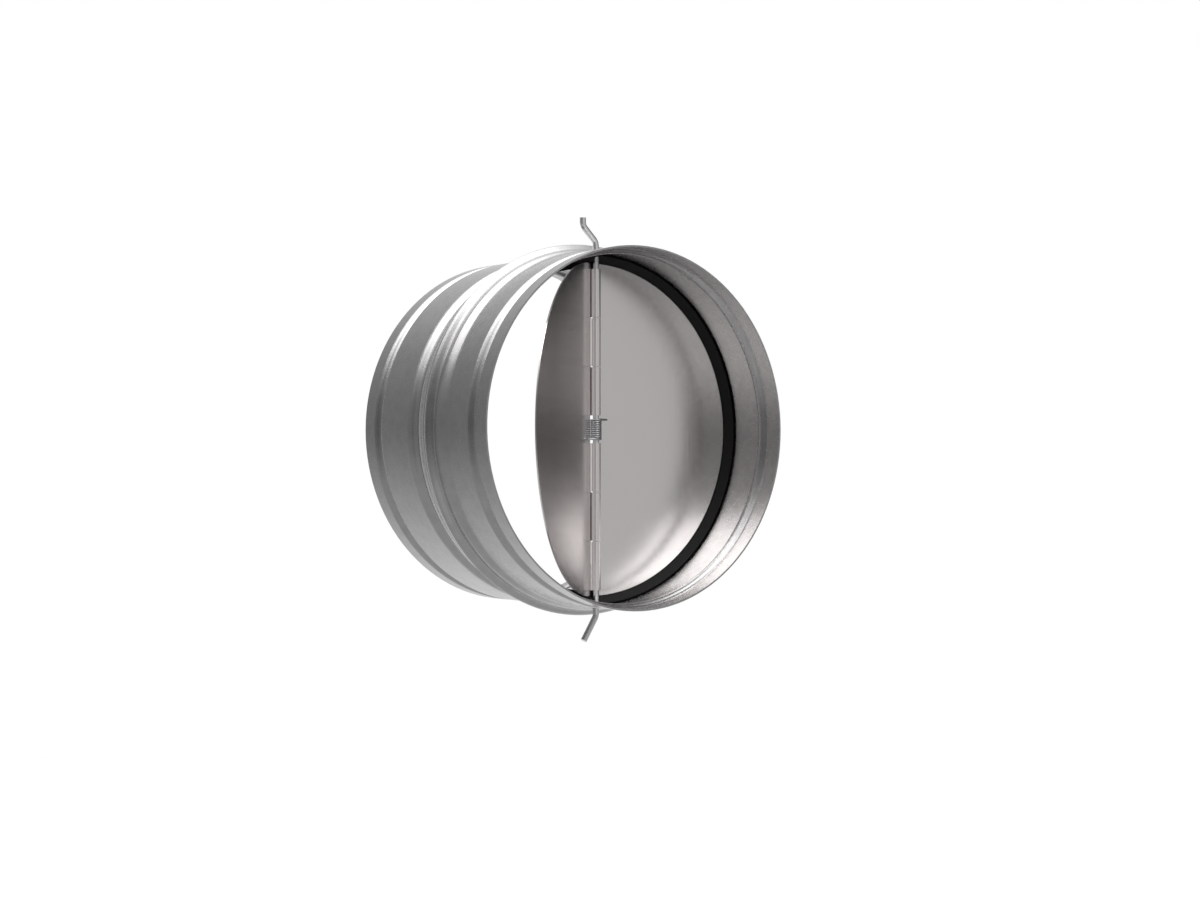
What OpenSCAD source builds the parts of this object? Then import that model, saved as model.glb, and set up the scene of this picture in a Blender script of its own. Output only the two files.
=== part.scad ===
// Round back-draught damper for a 125 mm duct.
// A rolled sheet sleeve carries a rubber seal and one upright rod. Two half-round flaps hang
// on the rod by rolled knuckles, and a torsion spring at mid height pushes both shut.
// The duct axis is Y. The origin is the centre of the inlet rim, and air leaves towards -Y.

/* [Sleeve] */
// Outer diameter of the sleeve, which slides into the duct
sleeve_d = 124; // [110:1:160]
// Length of the sleeve from rim to rim
sleeve_l = 80; // [76:1:120]
// Thickness of the sleeve's sheet
sleeve_t = 0.6; // [0.4:0.05:1]
// Distance from each rim to the middle of its stiffening groove
groove_at = 8.9; // [7:0.1:12]
// Width of each stiffening groove
groove_w = 5.6; // [4:0.1:7]
// Depth of each stiffening groove
groove_h = 1.5; // [0.5:0.1:2]

/* [Seal seat] */
// Distance from the outlet rim to the raised band that seats the seal
seat_at = 24.2; // [20:0.1:30]
// Height of the raised band over the spigots
seat_h = 1.3; // [0.8:0.05:1.6]
// Axial length of the slope at each side of the band
seat_slope = 4.5; // [3:0.1:5]
// Distance from the front of the band to the middle of its crest
crest_at = 9; // [8.2:0.1:11]
// Height of the crest over the spigots
crest_h = 3.25; // [2.8:0.05:4.5]
// Width of the crest at its foot
crest_w = 6; // [5:0.1:7]
// Length of the band's flat top behind the crest
seat_past = 1.4; // [0.8:0.1:4]
// Width of the groove that closes the seat behind the band
stop_w = 8; // [6:0.1:10]
// Depth of the groove that closes the seat
stop_h = 1.6; // [0.8:0.1:2]
// Diameter of the two spare holes through the crest
spare_hole_d = 3; // [1.5:0.1:4]

/* [Seal] */
// How far the seal's lip reaches in from the sleeve's inner wall
lip_reach = 5; // [4:0.1:7]
// Width of the lip's face behind the flaps
lip_face = 2.1; // [1.2:0.1:3]
// Thickness of the lip at its edge
lip_t = 0.8; // [0.5:0.1:1.5]
// Axial length of the lip's sloping back
lip_back = 3; // [2:0.1:4]
// Distance that the seal's front edge stands in from the sleeve's wall
nose_in = 0.7; // [0.3:0.1:1.2]
// Thickness of the seal's foot behind the lip
foot_t = 1.2; // [0.8:0.1:2]
// Width of the rib that locks the seal in the crest
rib_w = 2.6; // [2:0.1:3]
// Height of the rib over the seal's foot
rib_h = 1.1; // [0.6:0.1:1.2]

/* [Rod] */
// Diameter of the rod
rod_d = 2.2; // [1.8:0.1:3]
// Distance from the front of the raised band back to the rod's axis
rod_behind_band = 2.2; // [1.9:0.1:3]
// Distance that the rod runs straight past the sleeve before its bend
rod_past = 2.3; // [1.5:0.1:5]
// Radius of each bend at the rod's axis
bend_r = 3; // [2:0.1:6]
// Angle that the lower end leans at
lower_lean = 32; // [15:1:60]
// Length of the lower end past its bend
lower_l = 9; // [4:0.5:15]
// Angle that the upper end leans at before it turns upright again
upper_lean = 45; // [15:1:60]
// Length of the upper end's leaning stretch
upper_l = 5.3; // [2:0.1:10]
// Length of the upper end's upright tip
tip_l = 1.5; // [0.5:0.1:6]

/* [Flaps] */
// Thickness of the flaps' sheet
flap_t = 0.5; // [0.4:0.05:0.8]
// Distance from the rod's axis back to the front face of a closed flap
flap_behind_rod = 1.5; // [1.3:0.05:2]
// Gap along the rod between two neighbouring knuckles
knuckle_gap = 0.3; // [0.2:0.05:1]
// Angle of the gap left in a knuckle's roll
knuckle_open = 42; // [42:2:90]
// Angle at which the left flap stands open
left_open = 37; // [0:1:80]
// Angle at which the right flap stands open
right_open = 0; // [0:1:80]

/* [Spring] */
// Diameter of the spring's wire
wire_d = 0.7; // [0.5:0.05:0.8]
// Full turns of the coil
turns = 9; // [5:1:11]
// Gap between two neighbouring turns
turn_gap = 0.06; // [0.03:0.01:0.12]
// Distance that the flaps' cut-out and knuckles keep from each end of the coil
spring_room = 0.7; // [0.5:0.1:3]

/* [Fits] */
// Radial clearance of the rod in the knuckles
hinge_fit = 0.08; // [0.03:0.01:0.1]
// Radial clearance of the rod in the sleeve and the seal
rod_fit = 0.05; // [0.03:0.01:0.2]
// Radial clearance between the seal's foot and the sleeve
seal_fit = 0.05; // [0.03:0.01:0.1]
// Clearance between the rubber seal and a closed flap
rubber_gap = 0.3; // [0.25:0.05:0.6]
// Clearance between a flap and what turns on the same rod
flap_gap = 0.2; // [0.15:0.05:0.5]
// Radial clearance between the coil and the rod
coil_gap = 0.3; // [0.2:0.05:0.4]
// Clearance between a spring leg and the flap that it pushes
leg_gap = 0.05; // [0.03:0.01:0.1]

/* [Hidden] */

around_fn = 144;
rod_fn = 32;
knuckle_fn = 48;
bend_fn = 96;
wave_steps = 10;
slope_steps = 6;
sleeve_r = sleeve_d / 2;
bore_r = sleeve_r - sleeve_t;

// Places along Y, counted from the inlet rim at zero
outlet_y = -sleeve_l;
band_y = outlet_y + seat_at;
band_top_y = band_y + seat_slope;
crest_y = band_y + crest_at;
band_back_y = crest_y + crest_w / 2 + seat_past;
band_end_y = band_back_y + seat_slope;
stop_y = band_end_y + stop_w / 2;
rod_y = band_y + rod_behind_band;
flap_front_y = rod_y + flap_behind_rod;
flap_back_y = flap_front_y + flap_t;

// Seal, flap and knuckle radii
foot_r = bore_r + seat_h - seal_fit;
lip_r = bore_r - lip_reach;
step_r = lip_r + lip_face;
flap_r = step_r - rubber_gap;
lip_y = flap_back_y + rubber_gap;
foot_end_y = band_back_y - rubber_gap;
lip_bevel = 0.2;
rib_bevel = 0.5;
rod_r = rod_d / 2;
// The wire is a hair thinner in a bend, and each straight stretch runs a little way into it
bend_thin = 0.03;
bend_lap = 0.3;
knuckle_ri = rod_r + hinge_fit;
knuckle_ro = knuckle_ri + flap_t;
// How far a knuckle's leaf runs into its roll and into its flap
roll_lap = 0.01;
leaf_lap = 0.3;
// Nearest that a flap's straight edge comes to the plane through the rod
edge_x = sqrt(pow(knuckle_ro + flap_gap, 2) - pow(min(flap_behind_rod, knuckle_ro), 2));

// Spring, wound close round the rod
coil_r = rod_r + coil_gap + wire_d / 2;
pitch = wire_d + turn_gap;
// Angle round the rod, from +X, at which a leg leaves the coil for the closed right flap
leg_angle = -60;
coil_start = 180 - leg_angle + left_open - 360 * (turns + 1);
coil_end = leg_angle - right_open;
coil_turned = coil_end - coil_start;
coil_h = pitch * coil_turned / 360;
wire_steps = 16;
wire_sides = 8;
// A leg runs straight until it is a hair in front of the flap
leg_end_y = flap_behind_rod - wire_d / 2 - leg_gap;
leg_l = (leg_end_y - coil_r * sin(leg_angle)) / cos(leg_angle);

// Knuckles fill the rod from the spring's room to the seal, three to each half
hinge_from = pitch * (turns + 1) / 2 + wire_d / 2 + spring_room;
hinge_to = lip_r - rubber_gap;
knuckle_l = (hinge_to - hinge_from - 2 * knuckle_gap) / 3;
knuckle_step = knuckle_l + knuckle_gap;
// The cut-out round the spring clears the coil at every angle of the flap
notch_x = sqrt(pow(coil_r + wire_d / 2 + flap_gap, 2) - pow(flap_behind_rod, 2)) + flap_gap / 2;

// Radius of the sleeve's outer face at a place along Y
function wave(y, middle, width) =
    abs(y - middle) < width / 2 ? (1 + cos(360 * (y - middle) / width)) / 2 : 0;
function slope(t) = t <= 0 ? 0 : t >= 1 ? 1 : (1 - cos(180 * t)) / 2;
function band(y) = min(slope((y - band_y) / seat_slope), slope((band_end_y - y) / seat_slope));
function outer_r(y) =
    sleeve_r
    - groove_h * wave(y, outlet_y + groove_at, groove_w)
    - groove_h * wave(y, -groove_at, groove_w)
    + seat_h * band(y)
    + (crest_h - seat_h) * wave(y, crest_y, crest_w)
    - stop_h * wave(y, stop_y, stop_w);

// Places along Y where the sleeve's outline bends
function span(from, to, steps) = [for (i = [0:steps]) from + (to - from) * i / steps];
front_slope_ys = span(band_y, band_top_y, slope_steps);
profile_ys = concat(
    [outlet_y],
    span(outlet_y + groove_at - groove_w / 2, outlet_y + groove_at + groove_w / 2, wave_steps),
    front_slope_ys,
    span(crest_y - crest_w / 2, crest_y + crest_w / 2, wave_steps + 2),
    span(band_back_y, band_end_y, slope_steps),
    [for (i = [1:wave_steps]) band_end_y + stop_w * i / wave_steps],
    span(-groove_at - groove_w / 2, -groove_at + groove_w / 2, wave_steps),
    [0]
);

// Turns a profile of radius and Y into a ring round the duct axis
module round_duct(points) {
    rotate([-90, 0, 0])
        rotate_extrude($fn = around_fn)
            polygon(points);
}

// Upright hole through both walls of a ring
module cross_hole(y, d) {
    translate([0, y, 0])
        cylinder(h = 2 * sleeve_d, d = d, center = true, $fn = rod_fn);
}

// One rolled sheet with its grooves, the seal's band and the crest
module sleeve() {
    outside = [for (y = profile_ys) [outer_r(y), y]];
    inside = [for (i = [len(profile_ys) - 1:-1:0]) [outer_r(profile_ys[i]) - sleeve_t, profile_ys[i]]];
    color("silver")
        difference() {
            round_duct(concat(outside, inside));
            cross_hole(rod_y, rod_d + 2 * rod_fit);
            cross_hole(crest_y, spare_hole_d);
        }
}

// Rubber ring: a foot in the band, a rib in the crest, and a lip that the flaps close on
module seal() {
    // The foot follows the band's front slope, and its front edge stands free of the sleeve
    on_slope = [for (i = [slope_steps:-1:2])
        [outer_r(front_slope_ys[i]) - sleeve_t - seal_fit, front_slope_ys[i]]];
    color("dimgray")
        difference() {
            round_duct(concat(on_slope, [
                [bore_r - nose_in, front_slope_ys[1]],
                [step_r, flap_front_y - rubber_gap],
                [step_r, lip_y],
                [lip_r, lip_y + lip_bevel],
                [lip_r, lip_y + lip_bevel + lip_t],
                [step_r + lip_t, lip_y + lip_back],
                [foot_r - foot_t, foot_end_y],
                [foot_r, foot_end_y],
                [foot_r, crest_y + rib_w / 2],
                [foot_r + rib_h, crest_y + rib_w / 2 - rib_bevel],
                [foot_r + rib_h, crest_y - rib_w / 2 + rib_bevel],
                [foot_r, crest_y - rib_w / 2]
            ]));
            cross_hole(rod_y, rod_d + 2 * rod_fit);
        }
}

// Bend in the rod that starts upwards at the origin and leans to -X, with its children after it
module rod_bend(lean) {
    translate([-bend_r, 0, 0])
        rotate([90, 0, 0])
            rotate_extrude(angle = lean, $fn = bend_fn)
                translate([bend_r, 0])
                    circle(r = rod_r - bend_thin, $fn = rod_fn);
    translate([-bend_r, 0, 0])
        rotate([0, -lean, 0])
            translate([bend_r, 0, 0])
                children();
}

// Straight stretch of the rod between two heights
module rod_stretch(from, to) {
    translate([0, 0, from])
        cylinder(h = to - from, r = rod_r, $fn = rod_fn);
}

// Straight wire rod through sleeve, seal and knuckles, bent over at both ends outside
module hinge_rod() {
    straight = sleeve_r + rod_past;
    color("lightgray")
        translate([0, rod_y, 0]) {
            rod_stretch(-straight - bend_lap, straight + bend_lap);
            translate([0, 0, straight])
                rod_bend(upper_lean) {
                    rod_stretch(-bend_lap, upper_l + bend_lap);
                    translate([0, 0, upper_l])
                        mirror([1, 0, 0])
                            rod_bend(upper_lean)
                                rod_stretch(-bend_lap, tip_l);
                }
            mirror([0, 0, 1])
                translate([0, 0, straight])
                    rod_bend(lower_lean)
                        rod_stretch(-bend_lap, lower_l);
        }
}

// Roll of sheet round the rod, in the plane across it, with the leaf that joins the flap
module knuckle_outline() {
    // The roll stays open beside the leaf, in a wedge that reaches well past it
    wedge_r = 3 * knuckle_ro;
    difference() {
        circle(r = knuckle_ro, $fn = knuckle_fn);
        circle(r = knuckle_ri, $fn = knuckle_fn);
        polygon([
            [0, 0],
            [wedge_r * sin(knuckle_open), wedge_r * cos(knuckle_open)],
            [wedge_r, wedge_r],
            [0, wedge_r]
        ]);
    }
    polygon([
        [-roll_lap, knuckle_ri],
        [edge_x + leaf_lap, flap_behind_rod],
        [edge_x + leaf_lap, flap_behind_rod + flap_t],
        [-roll_lap, knuckle_ro]
    ]);
}

// Closed right-hand flap with the rod's axis at zero; the left one is the same piece turned over
module flap() {
    color("gainsboro") {
        translate([0, flap_behind_rod + flap_t, 0])
            rotate([90, 0, 0])
                linear_extrude(flap_t)
                    difference() {
                        circle(r = flap_r, $fn = around_fn);
                        translate([edge_x - 2 * flap_r, -2 * flap_r])
                            square([2 * flap_r, 4 * flap_r]);
                        translate([0, -hinge_from])
                            square([notch_x, 2 * hinge_from]);
                    }
        for (from = [-hinge_to, -hinge_from - knuckle_l, hinge_from + knuckle_step])
            translate([0, 0, from])
                linear_extrude(knuckle_l)
                    knuckle_outline();
    }
}

module right_flap() {
    translate([0, rod_y, 0])
        rotate([0, 0, -right_open])
            flap();
}

module left_flap() {
    translate([0, rod_y, 0])
        rotate([0, 0, left_open])
            rotate([0, 180, 0])
                flap();
}

// Middle line of the spring's wire: left leg, coil, right leg, seen from above
coil_point = function (t)
    let (a = coil_start + coil_turned * t)
        [coil_r * cos(a), coil_r * sin(a), coil_h * (t - 0.5)];
leg_start = coil_point(0) + leg_l * [sin(coil_start), -cos(coil_start), 0];
leg_finish = coil_point(1) + leg_l * [-sin(coil_end), cos(coil_end), 0];
coil_rings = round(wire_steps * coil_turned / 360);
wire_path = concat(
    [leg_start],
    [for (i = [0:coil_rings]) coil_point(i / coil_rings)],
    [leg_finish]
);

// Ring of points round the wire at one place on its middle line
function wire_ring(path, i) =
    let (
        before = path[max(i - 1, 0)],
        after = path[min(i + 1, len(path) - 1)],
        along = (after - before) / norm(after - before),
        side = cross(along, [0, 0, 1]) / norm(cross(along, [0, 0, 1])),
        up = cross(side, along)
    )
    [for (k = [0:wire_sides - 1])
        path[i] + wire_d / 2 * (cos(360 * k / wire_sides) * side + sin(360 * k / wire_sides) * up)];

// Closed tube along a line of points
module wire_tube(path) {
    last = len(path) - 1;
    points = [for (i = [0:last]) each wire_ring(path, i)];
    walls = [
        for (i = [0:last - 1], k = [0:wire_sides - 1])
            let (
                a = i * wire_sides + k,
                b = i * wire_sides + (k + 1) % wire_sides
            )
            each [[a, b, b + wire_sides], [a, b + wire_sides, a + wire_sides]]
    ];
    start_cap = [[for (k = [wire_sides - 1:-1:0]) k]];
    end_cap = [[for (k = [0:wire_sides - 1]) last * wire_sides + k]];
    polyhedron(points = points, faces = concat(walls, start_cap, end_cap));
}

// Coil round the rod, with a leg that bears on the front of each flap
module torsion_spring() {
    color("darkgray")
        translate([0, rod_y, 0])
            wire_tube(wire_path);
}

sleeve();
seal();
hinge_rod();
left_flap();
right_flap();
torsion_spring();
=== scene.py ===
import math

import bpy
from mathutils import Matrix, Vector


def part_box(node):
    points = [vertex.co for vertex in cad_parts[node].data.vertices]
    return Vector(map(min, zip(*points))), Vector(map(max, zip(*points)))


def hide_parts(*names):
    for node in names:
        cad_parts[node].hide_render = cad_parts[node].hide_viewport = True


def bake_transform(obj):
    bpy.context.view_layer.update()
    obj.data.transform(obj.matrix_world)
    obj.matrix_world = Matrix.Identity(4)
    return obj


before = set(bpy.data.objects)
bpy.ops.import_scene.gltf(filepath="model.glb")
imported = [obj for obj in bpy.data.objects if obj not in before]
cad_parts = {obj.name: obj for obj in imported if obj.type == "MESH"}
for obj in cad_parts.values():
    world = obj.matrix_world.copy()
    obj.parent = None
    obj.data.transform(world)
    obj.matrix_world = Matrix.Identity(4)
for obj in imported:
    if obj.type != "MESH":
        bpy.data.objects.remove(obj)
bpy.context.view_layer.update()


# The camera stands a little below the duct axis, to the open flap's side of the outlet.
# Its lens and shift put the sleeve where the photograph has it, in a frame of 1200 x 900.
FRAME_WIDTH_PX = 1200
FRAME_HEIGHT_PX = 900
LENS_PX = 2000
SLEEVE_PX = (573.8, 430.0)
CAMERA_AZIMUTH = math.radians(-34.63)
CAMERA_ELEVATION = math.radians(-1.18)
CAMERA_DISTANCE = 0.7106

sleeve_low, sleeve_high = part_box("sleeve")
sleeve_middle = (sleeve_low + sleeve_high) / 2
towards_camera = Vector((
    math.sin(CAMERA_AZIMUTH) * math.cos(CAMERA_ELEVATION),
    -math.cos(CAMERA_AZIMUTH) * math.cos(CAMERA_ELEVATION),
    math.sin(CAMERA_ELEVATION),
))

camera = bpy.data.objects.new("camera", bpy.data.cameras.new("camera"))
camera.data.sensor_width = 36
camera.data.lens = 36 * LENS_PX / FRAME_WIDTH_PX
camera.data.shift_x = (FRAME_WIDTH_PX / 2 - SLEEVE_PX[0]) / FRAME_WIDTH_PX
camera.data.shift_y = (SLEEVE_PX[1] - FRAME_HEIGHT_PX / 2) / FRAME_WIDTH_PX
camera.data.clip_start = 0.01
camera.location = sleeve_middle + towards_camera * CAMERA_DISTANCE
camera.rotation_euler = towards_camera.to_track_quat("Z", "Y").to_euler()
bpy.context.scene.collection.objects.link(camera)
bpy.context.scene.camera = camera
bpy.context.scene.view_settings.view_transform = "Standard"


# The studio has a white backdrop behind the duct and a bright ceiling, and is dim at the sides.
# Sheet metal takes its whole look from it: white where it mirrors those two, grey where it shows the room.
def linear(colour):
    """A colour written as sRGB hex, in the linear values that shaders take."""
    channels = [int(colour[i:i + 2], 16) / 255 for i in (1, 3, 5)]
    return [c / 12.92 if c <= 0.04045 else ((c + 0.055) / 1.055) ** 2.4 for c in channels] + [1]


def add(tree, kind, inputs=None, **settings):
    """Adds a node. An input is a value, or the output socket of another node."""
    made = tree.nodes.new(kind)
    for name, value in settings.items():
        setattr(made, name, value)
    for name, value in (inputs or {}).items():
        if isinstance(value, bpy.types.NodeSocket):
            tree.links.new(value, made.inputs[name])
        else:
            made.inputs[name].default_value = value
    return made


WHITE = "#ffffff"
# Brightness of the room by height: -1 is straight down, 0 the horizon, 1 straight up
ROOM_BY_HEIGHT = [
    (-1.0, 0.6),
    (-0.7, 0.5),
    (-0.5, 0.5),
    (-0.35, 0.45),
    (-0.2, 0.36),
    (0.0, 0.255),
    (0.2, 0.285),
    (0.38, 0.33),
    (0.5, 0.42),
    (0.6, 0.6),
    (0.7, 1.0),
    (0.8, 2.0),
    (0.92, 3.4),
    (1.0, 3.4),
]
# Parts of the room with soft round edges: towards where, where each ends and where it is full,
# as cosines of the angle from its middle, and the share of the room's brightness that it has
ROOM_PATCHES = [
    # The wall in front of the outlet catches more light than the others
    ((-0.36, -0.92, -0.15), (0.68, 0.96), 2.0),
    # A dark screen stands at the front, to the open side
    ((-0.88, -0.46, 0.1), (0.8, 0.99), 0.5),
    # The ceiling is dimmer over the closed flap's side
    ((0.82, -0.05, 0.57), (0.72, 0.95), 0.42),
]
# The white paper hangs behind the duct and runs down under it
PAPER_TOWARDS = (0.55, 0.79, -0.27)
PAPER_EDGES = (0.4, 1.0)

world = bpy.data.worlds.new("studio")
bpy.context.scene.world = world
world.use_nodes = True
studio = world.node_tree
studio.nodes.clear()
direction = add(studio, "ShaderNodeTexCoord").outputs["Generated"]


def patch(towards, edges):
    """Share, from 0 to 1, of a soft round part of the room in the direction looked at."""
    cosine = add(studio, "ShaderNodeVectorMath", {0: direction, 1: towards}, operation="DOT_PRODUCT")
    return add(studio, "ShaderNodeMapRange", {
        "Value": cosine.outputs["Value"],
        "From Min": edges[0],
        "From Max": edges[1],
    }, interpolation_type="SMOOTHSTEP").outputs["Result"]


height = add(studio, "ShaderNodeSeparateXYZ", {"Vector": direction}).outputs["Z"]
height = add(studio, "ShaderNodeMapRange", {"Value": height, "From Min": -1, "From Max": 1}).outputs["Result"]
brightness = add(studio, "ShaderNodeValToRGB", {"Fac": height})
ramp = brightness.color_ramp
room_peak = max(level for _, level in ROOM_BY_HEIGHT)
while len(ramp.elements) < len(ROOM_BY_HEIGHT):
    ramp.elements.new(1.0)
for element, (z, level) in zip(ramp.elements, ROOM_BY_HEIGHT):
    element.position = (z + 1) / 2
    element.color = [level / room_peak] * 3 + [1]
strength = room_peak
for towards, edges, share in ROOM_PATCHES:
    changed = add(studio, "ShaderNodeMapRange", {
        "Value": patch(towards, edges),
        "To Min": 1.0,
        "To Max": share,
    }).outputs["Result"]
    strength = add(studio, "ShaderNodeMath", {0: strength, 1: changed}, operation="MULTIPLY").outputs[0]
room = add(studio, "ShaderNodeBackground", {"Color": brightness.outputs["Color"], "Strength": strength})
backdrop = add(studio, "ShaderNodeBackground", {"Color": linear(WHITE), "Strength": 1.0})
path = add(studio, "ShaderNodeLightPath").outputs
mirrored = add(studio, "ShaderNodeMath", {
    0: path["Is Glossy Ray"],
    1: path["Is Transmission Ray"],
}, operation="ADD")
white = add(studio, "ShaderNodeMath", {
    0: mirrored.outputs[0],
    1: patch(PAPER_TOWARDS, PAPER_EDGES),
    2: path["Is Camera Ray"],
}, operation="MULTIPLY_ADD", use_clamp=True)
shown = add(studio, "ShaderNodeMixShader", {
    "Fac": white.outputs[0],
    1: room.outputs[0],
    2: backdrop.outputs[0],
})
add(studio, "ShaderNodeOutputWorld", {"Surface": shown.outputs[0]})

FLOOR_BELOW = 0.13
FLOOR_SIZE = 1.2
PAPER_WHITE = "#d2d2d2"
PAPER_GLOW = 0.4
floor_mesh = bpy.data.meshes.new("floor")
half = FLOOR_SIZE / 2
floor_z = sleeve_low.z - FLOOR_BELOW
floor_mesh.from_pydata(
    [(-half, -half, floor_z), (half, -half, floor_z), (half, half, floor_z), (-half, half, floor_z)],
    [],
    [(0, 1, 2, 3)],
)
floor = bpy.data.objects.new("floor", floor_mesh)
bpy.context.scene.collection.objects.link(floor)
# Metal mirrors the paper as the studio above has it, so the floor lets glossy rays through
paper = bpy.data.materials.new("white_paper")
paper.use_nodes = True
tree = paper.node_tree
tree.nodes.clear()
matt = add(tree, "ShaderNodeBsdfDiffuse", {"Color": linear(PAPER_WHITE)})
glow = add(tree, "ShaderNodeEmission", {"Color": linear(WHITE), "Strength": PAPER_GLOW})
lit = add(tree, "ShaderNodeAddShader", {0: matt.outputs[0], 1: glow.outputs[0]})
path = add(tree, "ShaderNodeLightPath").outputs
pale = add(tree, "ShaderNodeMixShader", {
    "Fac": path["Is Camera Ray"],
    1: matt.outputs[0],
    2: lit.outputs[0],
})
clear = add(tree, "ShaderNodeBsdfTransparent")
seen = add(tree, "ShaderNodeMixShader", {
    "Fac": path["Is Glossy Ray"],
    1: pale.outputs[0],
    2: clear.outputs[0],
})
add(tree, "ShaderNodeOutputMaterial", {"Surface": seen.outputs[0]})
floor_mesh.materials.append(paper)


def softbox(name, place, aim, size, watts):
    """A diffused rectangular lamp at a place, turned to face a point."""
    lamp = bpy.data.lights.new(name, "AREA")
    lamp.shape = "RECTANGLE"
    lamp.size, lamp.size_y = size
    lamp.energy = watts
    made = bpy.data.objects.new(name, lamp)
    made.location = place
    made.rotation_euler = (Vector(place) - Vector(aim)).to_track_quat("Z", "Y").to_euler()
    bpy.context.scene.collection.objects.link(made)
    return made


softbox("front_softbox", (0.04, -1.02, 0.86), sleeve_middle, (0.9, 0.72), 5.4)
softbox("left_softbox", (-0.86, 0.34, 1.04), sleeve_middle, (1.06, 0.7), 3.1)
softbox("fill_softbox", (0.8, -1.1, 0.1), sleeve_middle, (1.1, 0.9), 0.68)


def material(name):
    """An empty material, its node tree, and the place on the object in metres."""
    made = bpy.data.materials.new(name)
    made.use_nodes = True
    made.node_tree.nodes.clear()
    place = add(made.node_tree, "ShaderNodeTexCoord").outputs["Object"]
    return made, made.node_tree, place


def dress(node, made):
    """Gives a CAD node one material."""
    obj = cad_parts[node]
    obj.data.materials.clear()
    obj.data.materials.append(made)
    return obj


# Sleeve: one sheet of galvanised steel, 0.6 mm thick, rolled round and welded.
# The grooves, the band and its crest are rolled into it, and both rims are cut square.
# Hot-dip zinc is a satin grey metal with faint crystals and a slight waviness from rolling.
ZINC_GREY = "#aeadad"
SPANGLE_MM = 3.5
SPANGLE_REACH = 0.8
SPANGLE_TONE = (0.94, 1.03)
ZINC_ROUGHNESS = (0.265, 0.285)
ROLL_WAVE_MM = 28
ROLL_WAVE_DEEP_MM = 0.6
# The frost on real zinc is finer, and wouldn't show
FROST_MM = 0.7
FROST_DEEP_MM = 0.04

galvanised_steel, tree, place = material("galvanised_steel_satin")
spangle = add(tree, "ShaderNodeTexVoronoi", {"Vector": place, "Scale": 1000 / SPANGLE_MM})
tone = add(tree, "ShaderNodeMapRange", {
    "Value": spangle.outputs["Distance"],
    "From Max": SPANGLE_REACH,
    "To Min": SPANGLE_TONE[0],
    "To Max": SPANGLE_TONE[1],
})
zinc = add(tree, "ShaderNodeMix", {
    "Factor": 1.0,
    "A": linear(ZINC_GREY),
}, data_type="RGBA", blend_type="MULTIPLY")
tree.links.new(tone.outputs["Result"], zinc.inputs["B"])
crystal = add(tree, "ShaderNodeSeparateColor", {"Color": spangle.outputs["Color"]}).outputs["Red"]
gloss = add(tree, "ShaderNodeMapRange", {
    "Value": crystal,
    "To Min": ZINC_ROUGHNESS[0],
    "To Max": ZINC_ROUGHNESS[1],
}).outputs["Result"]
rolled = add(tree, "ShaderNodeTexNoise", {"Vector": place, "Scale": 1000 / ROLL_WAVE_MM, "Detail": 1.0})
wave = add(tree, "ShaderNodeBump", {
    "Height": rolled.outputs["Fac"],
    "Distance": ROLL_WAVE_DEEP_MM / 1000,
    "Strength": 0.5,
})
frosted = add(tree, "ShaderNodeTexNoise", {"Vector": place, "Scale": 1000 / FROST_MM, "Detail": 2.0})
grain = add(tree, "ShaderNodeBump", {
    "Height": frosted.outputs["Fac"],
    "Distance": FROST_DEEP_MM / 1000,
    "Strength": 0.6,
    "Normal": wave.outputs["Normal"],
})
metal = add(tree, "ShaderNodeBsdfPrincipled", {
    "Base Color": zinc.outputs["Result"],
    "Metallic": 1.0,
    "Roughness": gloss,
    "Normal": grain.outputs["Normal"],
})
add(tree, "ShaderNodeOutputMaterial", {"Surface": metal.outputs[0]})
dress("sleeve", galvanised_steel)


# Seal: a moulded ring of black rubber, locked in the crest by its rib.
# The flaps close on its thin lip. It is matt, with a soft sheen on its rounded edges.
RUBBER_BLACK = "#0c0b0b"
RUBBER_GRAIN_MM = 0.6
RUBBER_GRAIN_DEEP_MM = 0.05

black_rubber, tree, place = material("moulded_black_rubber")
grain = add(tree, "ShaderNodeTexNoise", {"Vector": place, "Scale": 1000 / RUBBER_GRAIN_MM})
pores = add(tree, "ShaderNodeBump", {
    "Height": grain.outputs["Fac"],
    "Distance": RUBBER_GRAIN_DEEP_MM / 1000,
    "Strength": 0.4,
})
rubber = add(tree, "ShaderNodeBsdfPrincipled", {
    "Base Color": linear(RUBBER_BLACK),
    "Roughness": 0.6,
    "Specular IOR Level": 0.2,
    "Normal": pores.outputs["Normal"],
})
add(tree, "ShaderNodeOutputMaterial", {"Surface": rubber.outputs[0]})
dress("seal", black_rubber)


# Hinge rod: drawn wire, 2.2 mm thick and zinc plated, pushed through sleeve, seal and knuckles.
# Both ends are bent over outside the sleeve, so that it stays in.
# The die leaves fine lines along the wire, which draw its highlight out into a soft streak.
PLATED_GREY = "#dadada"
# Real draw lines are finer, and wouldn't show
DRAW_LINE_MM = 0.2
DRAW_LINE_LENGTH_MM = 12
DRAW_LINE_DEEP_MM = 0.02
WIRE_ROUGHNESS = (0.22, 0.38)

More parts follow.
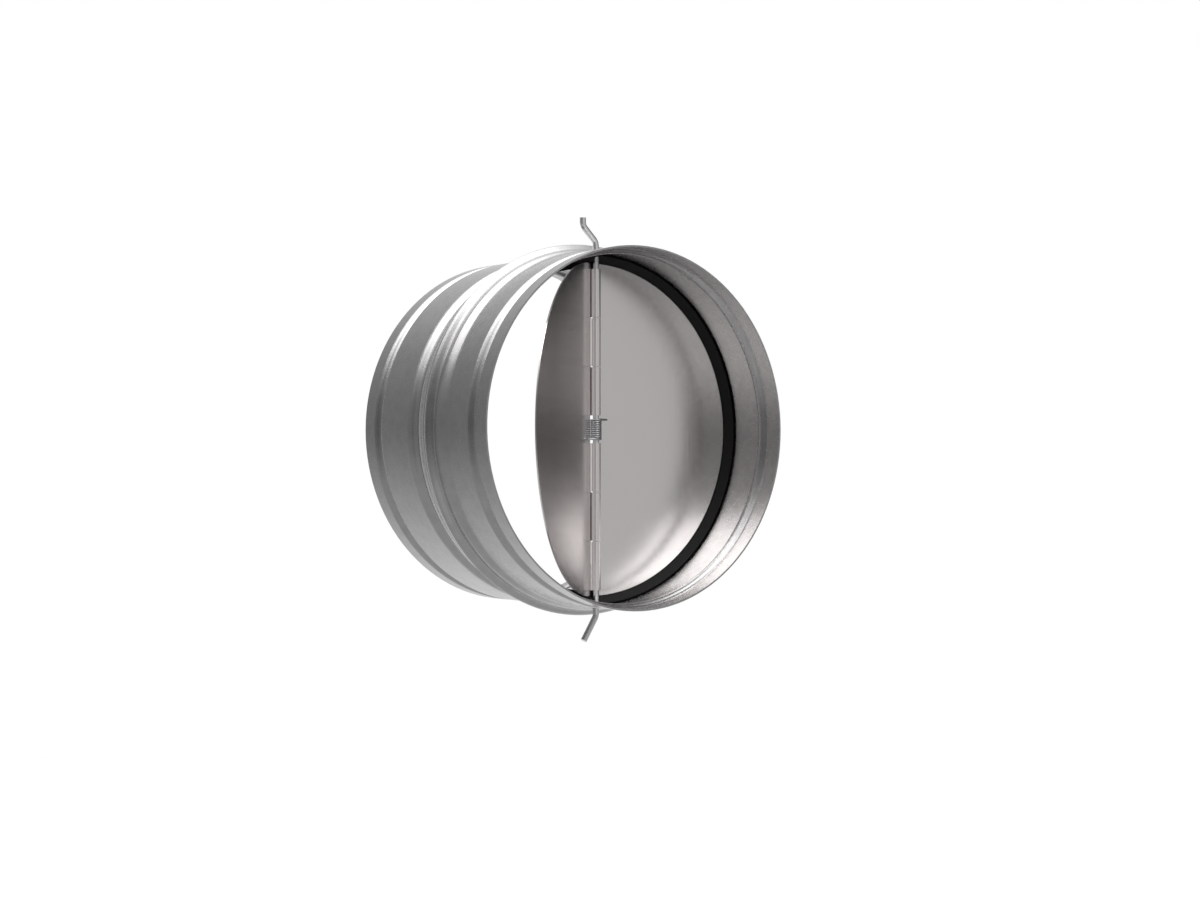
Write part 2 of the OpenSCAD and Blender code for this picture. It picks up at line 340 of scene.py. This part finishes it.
zinc_plated_wire, tree, place = material("zinc_plated_drawn_wire")
stretched = add(tree, "ShaderNodeVectorMath", {
    0: place,
    1: (1000 / DRAW_LINE_MM, 1000 / DRAW_LINE_MM, 1000 / DRAW_LINE_LENGTH_MM),
}, operation="MULTIPLY").outputs["Vector"]
drawn = add(tree, "ShaderNodeTexNoise", {"Vector": stretched, "Scale": 1.0, "Detail": 2.0}).outputs["Fac"]
line = add(tree, "ShaderNodeBump", {"Height": drawn, "Distance": DRAW_LINE_DEEP_MM / 1000, "Strength": 0.5})
sheen = add(tree, "ShaderNodeMapRange", {
    "Value": drawn,
    "To Min": WIRE_ROUGHNESS[0],
    "To Max": WIRE_ROUGHNESS[1],
})
wire = add(tree, "ShaderNodeBsdfPrincipled", {
    "Base Color": linear(PLATED_GREY),
    "Metallic": 1.0,
    "Roughness": sheen.outputs["Result"],
    "Normal": line.outputs["Normal"],
})
add(tree, "ShaderNodeOutputMaterial", {"Surface": wire.outputs[0]})
dress("hinge_rod", zinc_plated_wire)


# Flaps: two alike half rounds of 0.5 mm aluminium sheet, with knuckles rolled from their straight edge.
# Mill-finish sheet is smooth enough to mirror what is close to it, and a little warm beside the zinc.
MILL_ALUMINIUM = "#e9e5e4"
# Roll marks run along the rod, and are drawn a little wider than real ones so that they show
ROLL_MARK_MM = 0.8
ROLL_MARK_LENGTH_MM = 40
ROLL_MARK_DEEP_MM = 0.03
ALUMINIUM_ROUGHNESS = (0.15, 0.27)

mill_aluminium, tree, place = material("mill_finish_aluminium_sheet")
stretched = add(tree, "ShaderNodeVectorMath", {
    0: place,
    1: (1000 / ROLL_MARK_MM, 1000 / ROLL_MARK_MM, 1000 / ROLL_MARK_LENGTH_MM),
}, operation="MULTIPLY").outputs["Vector"]
marks = add(tree, "ShaderNodeTexNoise", {"Vector": stretched, "Scale": 1.0, "Detail": 3.0})
line = add(tree, "ShaderNodeBump", {
    "Height": marks.outputs["Fac"],
    "Distance": ROLL_MARK_DEEP_MM / 1000,
    "Strength": 0.5,
})
sheen = add(tree, "ShaderNodeMapRange", {
    "Value": marks.outputs["Fac"],
    "To Min": ALUMINIUM_ROUGHNESS[0],
    "To Max": ALUMINIUM_ROUGHNESS[1],
})
alloy = add(tree, "ShaderNodeBsdfPrincipled", {
    "Base Color": linear(MILL_ALUMINIUM),
    "Metallic": 1.0,
    "Roughness": sheen.outputs["Result"],
    "Normal": line.outputs["Normal"],
})
add(tree, "ShaderNodeOutputMaterial", {"Surface": alloy.outputs[0]})
for flap in ("left_flap", "right_flap"):
    dress(flap, mill_aluminium)


# Torsion spring: 0.7 mm oiled steel wire, wound round the rod in the gap between the knuckles.
# A straight leg at each end lies on the front of a flap and pushes it shut.
# The coil is built in two halves, with the left leg turned to the open left flap. The oil film darkens it and
# makes its gloss uneven.
SPRING_GREY = "#a3a3a5"
SPRING_WIRE_MM = 0.7
COIL_RADIUS_MM = 1.75
TURN_TO_TURN_MM = 0.76
TURNS = 9
# A leg leaves the coil at this angle from the closed right flap, and ends just in front of it
LEG_ANGLE = math.radians(-60)
LEG_ENDS_BEHIND_ROD_MM = 1.1
LEFT_FLAP_OPEN = math.radians(37)
OIL_FILM_MM = 0.9
OIL_FILM_DEEP_MM = 0.03
OILED_ROUGHNESS = (0.27, 0.45)
STEPS_PER_TURN = 24
WIRE_SIDES = 12

coil_from = math.pi - LEG_ANGLE + LEFT_FLAP_OPEN - 2 * math.pi * (TURNS + 1)
coil_turned = LEG_ANGLE - coil_from
coil_height = TURN_TO_TURN_MM * coil_turned / (2 * math.pi)
leg_length = (LEG_ENDS_BEHIND_ROD_MM - COIL_RADIUS_MM * math.sin(LEG_ANGLE)) / math.cos(LEG_ANGLE)
rod_low, rod_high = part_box("hinge_rod")
coil_middle = Vector((0, (rod_low.y + rod_high.y) / 2, 0))


def coil_point(share):
    """Point on the coil's middle line, in mm from its middle; the share is 0 at the left leg."""
    angle = coil_from + coil_turned * share
    return Vector((
        COIL_RADIUS_MM * math.cos(angle),
        COIL_RADIUS_MM * math.sin(angle),
        coil_height * (share - 0.5),
    ))


def leg_tip(share, angle, way):
    """Far end of the straight leg that leaves the coil at an angle, one way or the other round."""
    return coil_point(share) + way * leg_length * Vector((-math.sin(angle), math.cos(angle), 0))


def wire_tube(name, line, finish):
    """A closed round tube along a line of points in mm."""
    rings = []
    for here in range(len(line)):
        along = line[min(here + 1, len(line) - 1)] - line[max(here - 1, 0)]
        side = along.cross(Vector((0, 0, 1))).normalized()
        up = side.cross(along).normalized()
        ring = []
        for k in range(WIRE_SIDES):
            turn = 2 * math.pi * k / WIRE_SIDES
            ring.append(line[here] + SPRING_WIRE_MM / 2 * (math.cos(turn) * side + math.sin(turn) * up))
        rings.append(ring)
    verts = [coil_middle + point / 1000 for ring in rings for point in ring]
    faces = [list(reversed(range(WIRE_SIDES)))]
    for here in range(len(rings) - 1):
        for k in range(WIRE_SIDES):
            near = here * WIRE_SIDES + k
            beside = here * WIRE_SIDES + (k + 1) % WIRE_SIDES
            faces.append([near, beside, beside + WIRE_SIDES, near + WIRE_SIDES])
    faces.append([len(verts) - WIRE_SIDES + k for k in range(WIRE_SIDES)])
    mesh = bpy.data.meshes.new(name)
    mesh.from_pydata(verts, [], faces)
    mesh.shade_smooth()
    mesh.materials.append(finish)
    made = bpy.data.objects.new(name, mesh)
    bpy.context.scene.collection.objects.link(made)
    return made


spring_steel, tree, place = material("oiled_spring_steel_wire")
noise = add(tree, "ShaderNodeTexNoise", {"Vector": place, "Scale": 1000 / OIL_FILM_MM, "Detail": 2.0})
film = noise.outputs["Fac"]
sheen = add(tree, "ShaderNodeMapRange", {
    "Value": film,
    "To Min": OILED_ROUGHNESS[0],
    "To Max": OILED_ROUGHNESS[1],
})
skin = add(tree, "ShaderNodeBump", {"Height": film, "Distance": OIL_FILM_DEEP_MM / 1000, "Strength": 0.4})
coil = add(tree, "ShaderNodeBsdfPrincipled", {
    "Base Color": linear(SPRING_GREY),
    "Metallic": 1.0,
    "Roughness": sheen.outputs["Result"],
    "Normal": skin.outputs["Normal"],
})
add(tree, "ShaderNodeOutputMaterial", {"Surface": coil.outputs[0]})

half_steps = round(STEPS_PER_TURN * coil_turned / (4 * math.pi))
left_coil = [coil_point(i / half_steps / 2) for i in range(half_steps + 1)]
right_coil = [coil_point((1 + i / half_steps) / 2) for i in range(half_steps + 1)]
left_line = [leg_tip(0, coil_from, -1)] + left_coil
right_line = right_coil + [leg_tip(1, LEG_ANGLE, 1)]
for side, line, end in (("left", left_line, -0.5), ("right", right_line, 0.5)):
    half_spring = wire_tube("torsion_spring_" + side + "_half", line, spring_steel)
    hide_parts("torsion_spring")
    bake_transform(half_spring)
